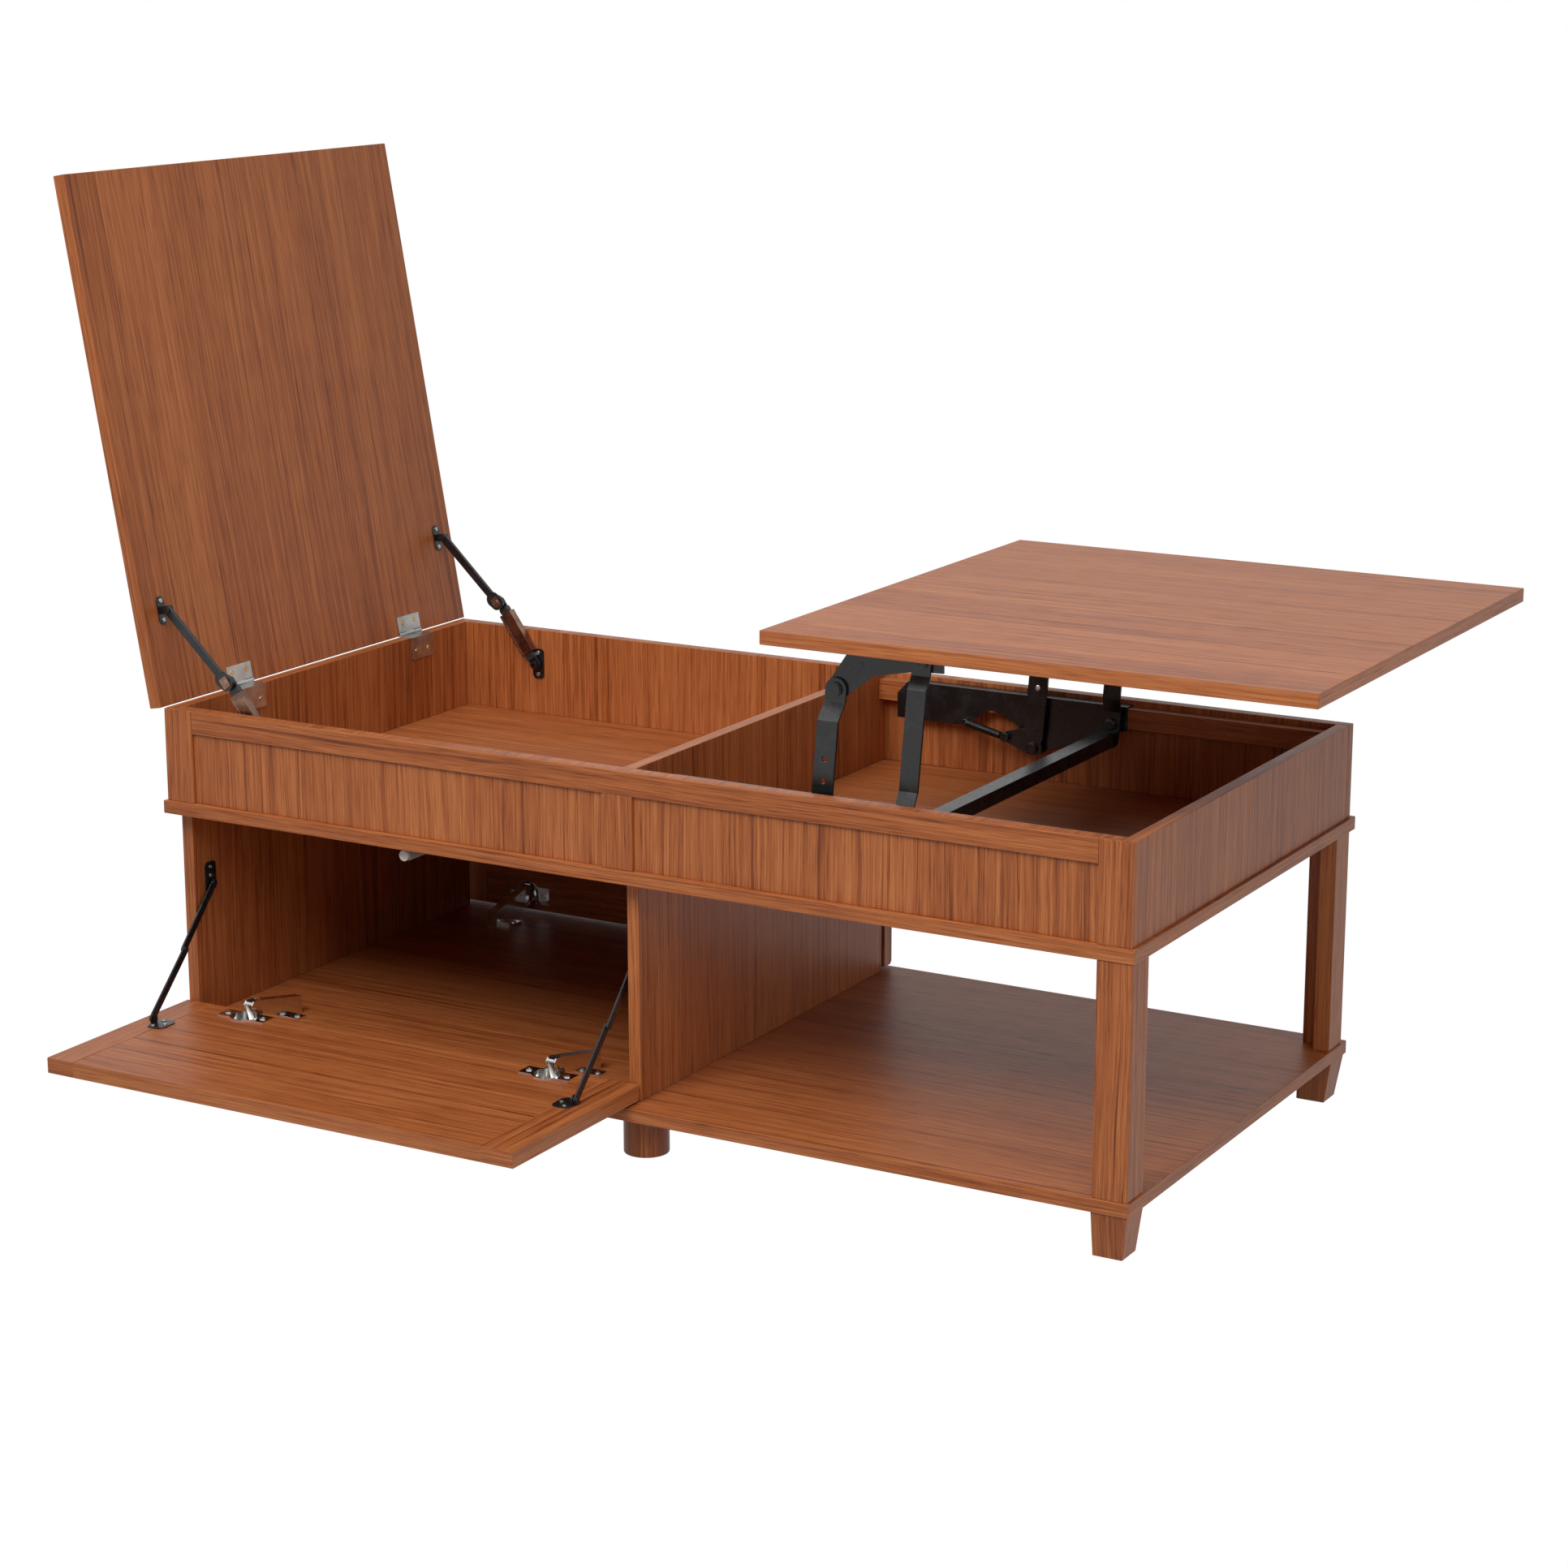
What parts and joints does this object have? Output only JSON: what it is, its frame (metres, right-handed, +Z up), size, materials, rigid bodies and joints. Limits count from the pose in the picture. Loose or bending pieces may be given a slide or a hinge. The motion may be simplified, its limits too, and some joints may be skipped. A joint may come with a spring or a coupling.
{
  "type": "lift top coffee table",
  "caption": "Coffee table with a rising lift top, a flap lid over a side compartment, a drop-door cabinet and an open shelf on tapered feet.",
  "frame": {"origin": "on the floor, under the middle of the 1200 by 600 mm frame", "axes": "+X along the table towards the lift top's end, +Y from the front to the back, +Z up"},
  "size_m": [1.4965, 0.8195, 1.0228],
  "materials": {
    "walnut_laminate": "satin, straight-grained",
    "black_steel": "satin black",
    "zinc_plate": "bright zinc",
    "nickel_plate": "bright",
    "bronze_finish": "dark bronze",
    "white_plastic": "gloss"
  },
  "bodies": {
    "frame": {"bottom_shelf": "walnut_laminate", "middle_board": "walnut_laminate", "foot_front_left": "walnut_laminate", "foot_front_right": "walnut_laminate", "foot_back_left": "walnut_laminate", "foot_back_right": "walnut_laminate", "centre_foot_front": "walnut_laminate", "centre_foot_back": "walnut_laminate", "leg_front_right": "walnut_laminate", "leg_back_right": "walnut_laminate", "cabinet_side": "walnut_laminate", "cabinet_partition": "walnut_laminate", "wall_left": "walnut_laminate", "wall_right": "walnut_laminate", "wall_front": "walnut_laminate", "wall_back": "walnut_laminate", "face_frame": "walnut_laminate", "divider": "walnut_laminate", "cleat_front": "walnut_laminate", "cleat_back": "walnut_laminate", "lift_base_back": "black_steel", "lift_base_front": "black_steel", "lid_hinge_leaf_fixed_front": "zinc_plate", "lid_hinge_leaf_fixed_back": "zinc_plate", "door_hinge_base_front_left": "nickel_plate", "door_hinge_base_front_right": "nickel_plate", "door_hinge_base_back_left": "nickel_plate", "door_hinge_base_back_right": "nickel_plate", "latch_body_front": "white_plastic", "latch_body_back": "white_plastic"},
    "lift_main_arms": {"lift_arm_main_back": "black_steel", "lift_arm_main_front": "black_steel"},
    "lift_second_arms": {"lift_arm_second_back": "black_steel", "lift_arm_second_front": "black_steel", "lift_crossbar": "black_steel"},
    "lift_table": {"lift_top": "walnut_laminate", "lift_top_bracket_back": "black_steel", "lift_top_bracket_front": "black_steel"},
    "flap": {"flap_lid": "walnut_laminate", "lid_hinge_leaf_moving_front": "zinc_plate", "lid_hinge_leaf_moving_back": "zinc_plate"},
    "flap_stay_rods": {"lid_stay_rod_back": "black_steel", "lid_stay_rod_front": "black_steel"},
    "flap_stay_dampers": {"lid_stay_damper_back": "bronze_finish", "lid_stay_damper_front": "bronze_finish"},
    "front_cranks": {"door_hinge_crank_front_left": "black_steel", "door_hinge_crank_front_right": "black_steel"},
    "front_door": {"door_front": "walnut_laminate", "door_hinge_cup_front_left": "nickel_plate", "door_hinge_cup_front_right": "nickel_plate"},
    "back_cranks": {"door_hinge_crank_back_left": "black_steel", "door_hinge_crank_back_right": "black_steel"},
    "back_door": {"door_back": "walnut_laminate"},
    "stay_upper_links": {"door_stay_upper_left": "black_steel", "door_stay_upper_right": "black_steel"},
    "stay_lower_links": {"door_stay_lower_left": "black_steel", "door_stay_lower_right": "black_steel"},
    "front_plunger": {"latch_plunger_front": "white_plastic"},
    "back_plunger": {"latch_plunger_back": "white_plastic"}
  },
  "joints": [
    {"name": "lift", "type": "hinge", "parent": "frame", "child": "lift_main_arms", "pos_m": [0.2232, 0, 0.3693], "axis": [0, -1, 0], "range_deg": [0, 89.47]},
    {"name": "lift_second", "type": "hinge", "parent": "frame", "child": "lift_second_arms", "pos_m": [0.3215, 0, 0.4083], "axis": [0, -1, 0], "range_deg": [0, 89.48]},
    {"name": "lift_level", "type": "hinge", "parent": "lift_main_arms", "child": "lift_table", "pos_m": [0.2365, 0, 0.53513], "axis": [0, 1, 0], "range_deg": [0, 89.48]},
    {"name": "flap_hinge", "type": "hinge", "parent": "frame", "child": "flap", "pos_m": [-0.5985, 0, 0.4345], "axis": [0, 1, 0], "range_deg": [0, 100]},
    {"name": "flap_stay_rod", "type": "hinge", "parent": "flap", "child": "flap_stay_rods", "pos_m": [-0.60298, 0, 0.54053], "axis": [0, -1, 0], "range_deg": [0, 140.25]},
    {"name": "flap_stay_damper", "type": "hinge", "parent": "frame", "child": "flap_stay_dampers", "pos_m": [-0.472, 0, 0.3905], "axis": [0, 1, 0], "range_deg": [0, 109.83]},
    {"name": "front_door_crank", "type": "hinge", "parent": "frame", "child": "front_cranks", "pos_m": [0, -0.28883, 0.09716], "axis": [-1, 0, 0], "range_deg": [0, 26.01]},
    {"name": "front_door_hinge", "type": "hinge", "parent": "front_cranks", "child": "front_door", "pos_m": [0, -0.282, 0.0725], "axis": [-1, 0, 0], "range_deg": [0, 64]},
    {"name": "back_door_crank", "type": "hinge", "parent": "frame", "child": "back_cranks", "pos_m": [0, 0.28883, 0.09716], "axis": [-1, 0, 0], "range_deg": [0, 26.01]},
    {"name": "back_door_hinge", "type": "hinge", "parent": "back_cranks", "child": "back_door", "pos_m": [0, 0.2935, 0.072], "axis": [-1, 0, 0], "range_deg": [0, 64]},
    {"name": "front_stay_upper", "type": "hinge", "parent": "frame", "child": "stay_upper_links", "pos_m": [0, -0.246, 0.219], "axis": [1, 0, 0], "range_deg": [0, 85.65]},
    {"name": "front_stay_lower", "type": "hinge", "parent": "front_door", "child": "stay_lower_links", "pos_m": [0, -0.367, 0.09], "axis": [1, 0, 0], "range_deg": [0, 43.65]},
    {"name": "front_latch", "type": "slide", "parent": "frame", "child": "front_plunger", "axis": [0, 1, 0], "range_m": [0, 0.0034]},
    {"name": "back_latch", "type": "slide", "parent": "frame", "child": "back_plunger", "axis": [0, 1, 0], "range_m": [0, 0.0034]}
  ],
  "couplings": [
    {"joint": "lift_second", "follows": "lift", "ratio": 1},
    {"joint": "lift_level", "follows": "lift", "ratio": 1},
    {"joint": "flap_stay_rod", "follows": "flap_hinge", "ratio": 1.4016},
    {"joint": "flap_stay_damper", "follows": "flap_hinge", "ratio": 1.0973},
    {"joint": "front_door_crank", "follows": "front_door_hinge", "ratio": 0.40625},
    {"joint": "front_stay_upper", "follows": "front_door_hinge", "ratio": 1.3367},
    {"joint": "front_stay_lower", "follows": "front_door_hinge", "ratio": 0.68048},
    {"joint": "front_latch", "follows": "front_door_hinge", "m_per_rad": 0.002954},
    {"joint": "back_door_crank", "follows": "back_door_hinge", "ratio": 0.40625},
    {"joint": "back_latch", "follows": "back_door_hinge", "m_per_rad": 0.002954}
  ]
}
